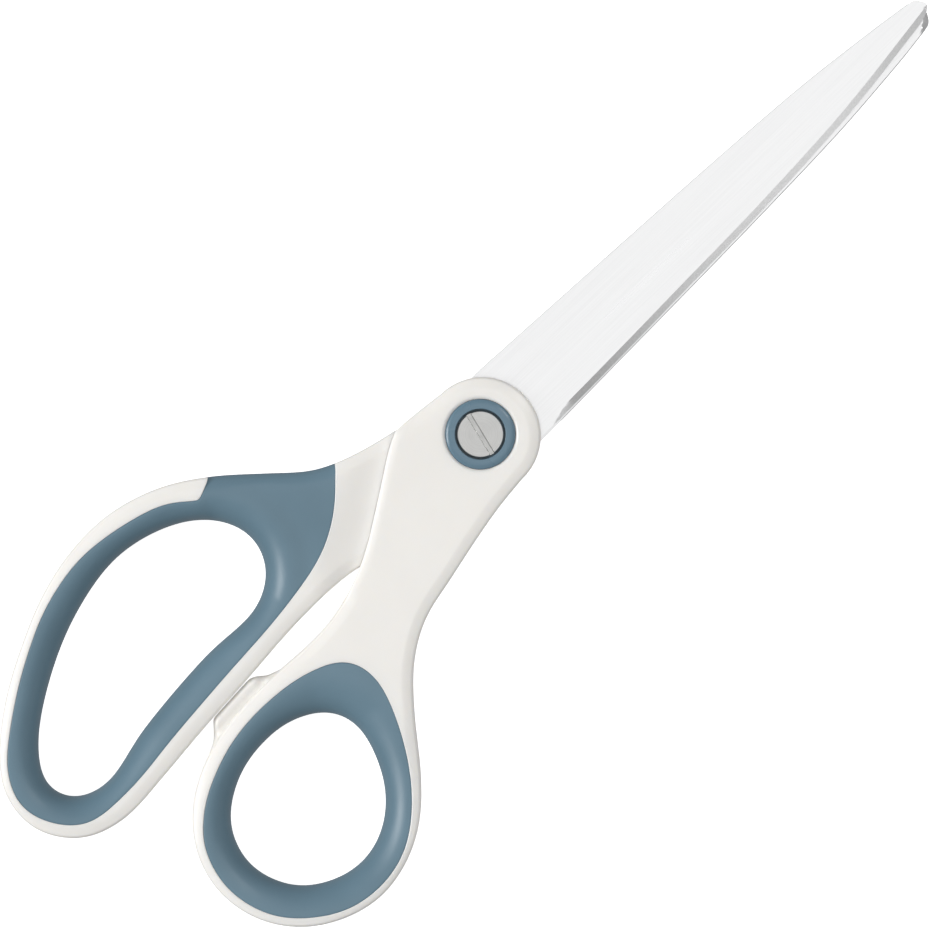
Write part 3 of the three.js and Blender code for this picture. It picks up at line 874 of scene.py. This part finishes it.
def make_screw():
    head_low = SCREW_HIGH - HEAD_HIGH
    under, side, top = 0.15, 0.18, 0.12     # chamfers of the head
    body = lathe("pivot_screw_head", [
        (0, SHANK_LOW), (SHANK_R, SHANK_LOW), (SHANK_R, head_low), (SCREW_R - under, head_low),
        (SCREW_R, head_low + under), (SCREW_R, SCREW_HIGH - side), (SCREW_R - top, SCREW_HIGH),
        (SCREW_R - 1, SCREW_HIGH), (0, SCREW_HIGH),
    ])
    return combine(body, slot_tool())


def make_nut():
    """The sleeve nut: a flat head with a turned groove, and a bored sleeve up through both blades."""
    head, chamfer = 1.8, 0.25
    sleeve_r, sleeve_high = 2.7, 7.6
    bore_r, bore_low = 1.95, 1.0
    groove = [(1.1, 0), (1.25, 0.12), (1.4, 0)]
    return lathe("pivot_nut_sleeve", [
        (0, 0), *groove, (NUT_R - chamfer, 0), (NUT_R, chamfer), (NUT_R, head), (sleeve_r, head),
        (sleeve_r, sleeve_high), (bore_r, sleeve_high), (bore_r, bore_low), (0, bore_low),
    ])


# ---- the object ----------------------------------------------------------------------------------------


PLASTIC_CREASE = 32         # degrees between faces, above which an edge is sharp
STEEL_CREASE = 20


def place(obj, body, node, material, angle=PLASTIC_CREASE):
    """Gives a piece its shading, finish, material and body, and hides the CAD node that it replaces."""
    finish_mesh(obj, angle)
    obj.data.materials.clear()
    obj.data.materials.append(material)
    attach(obj, body)
    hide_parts(node)


place(make_thumb_handle(), "thumb_half", "thumb_handle", WHITE)
place(make_finger_handle(), "finger_half", "finger_handle", WHITE)
place(make_thumb_grip(), "thumb_half", "thumb_grip", BLUE)
place(make_finger_grip(), "finger_half", "finger_grip", BLUE)
place(make_blade("front_blade_ground", FRONT_TIP, FRONT_TANG, 0.0), "thumb_half", "front_blade",
      BLADE_STEEL, STEEL_CREASE)
place(turn_over(make_blade("rear_blade_ground", REAR_TIP, REAR_TANG, TIP_CHAMFER)), "finger_half",
      "rear_blade", BLADE_STEEL, STEEL_CREASE)
place(make_collar("front_collar_ring", COLLAR_HIGH), "thumb_half", "front_collar", COLLAR)
place(turn_over(make_collar("rear_collar_ring", HANDLE_HIGH)), "finger_half", "rear_collar",
      COLLAR)
place(make_screw(), "tension_screw", "pivot_screw", SCREW_STEEL)
place(make_nut(), "finger_half", "pivot_nut", SCREW_STEEL)
for name, material in (("spring_washer", SCREW_STEEL), ("blade_washer", WASHER)):
    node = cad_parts[name]
    node.data.materials.clear()
    node.data.materials.append(material)

# ---- floor, light and camera ---------------------------------------------------------------------------


def make_floor():
    """A white table just under the scissors, bright by itself, which doesn't light or colour them."""
    size = 1500
    corners = [(-size, -size, 0), (size, -size, 0), (size, size, 0), (-size, size, 0)]
    floor = add_object("floor", corners, [(0, 1, 2, 3)])
    floor.location.z = -0.2 * MM
    material, _, shader = new_material("white_table")
    shader.inputs["Base Color"].default_value = (0.8, 0.8, 0.8, 1)
    shader.inputs["Roughness"].default_value = 0.9
    shader.inputs["Emission Color"].default_value = (1, 1, 1, 1)
    shader.inputs["Emission Strength"].default_value = 0.85
    floor.data.materials.append(material)
    floor.visible_diffuse = False
    floor.visible_glossy = False


def make_light(name, place_m, size_m, power):
    """A square softbox that faces the scissors."""
    light = bpy.data.lights.new(name, "AREA")
    light.size = size_m
    light.energy = power
    light.shape = "SQUARE"
    obj = bpy.data.objects.new(name, light)
    obj.visible_camera = False
    obj.location = place_m
    obj.rotation_euler = (-Vector(place_m)).to_track_quat("-Z", "Y").to_euler()
    bpy.context.scene.collection.objects.link(obj)


WORLD_LIGHT = 0.4
VIEW_TURN = math.radians(46.27)     # roll of the camera: the blades point to the upper right
VIEW_CENTRE = (1.83, -5.21)
VIEW_WIDTH = 157.1
CAMERA_HEIGHT = 1200
SENSOR_WIDTH = 36


def make_camera():
    data = bpy.data.cameras.new("camera")
    data.sensor_width = SENSOR_WIDTH
    data.lens = SENSOR_WIDTH * (CAMERA_HEIGHT - MID) / VIEW_WIDTH
    data.clip_end = 100
    camera = bpy.data.objects.new("camera", data)
    camera.location = (VIEW_CENTRE[0] * MM, VIEW_CENTRE[1] * MM, CAMERA_HEIGHT * MM)
    camera.rotation_euler = (0, 0, VIEW_TURN)
    bpy.context.scene.collection.objects.link(camera)
    bpy.context.scene.camera = camera


make_floor()
make_light("key_softbox", (-0.7, -0.73, 0.71), 0.5, 9.6)
make_light("top_softbox", (0.05, 0.12, 1.6), 1.2, 3.5)
make_light("kicker", (0.05, 0.85, 1.1), 0.3, 2.5)
make_light("bevel_card", (0.25, 0.105, 0.02), 0.11, 0.04)
world = bpy.data.worlds.new("studio")
world.use_nodes = True
background = world.node_tree.nodes["Background"]
background.inputs["Color"].default_value = (1, 1, 1, 1)
background.inputs["Strength"].default_value = WORLD_LIGHT
bpy.context.scene.world = world
bpy.context.scene.view_settings.view_transform = "Standard"
make_camera()
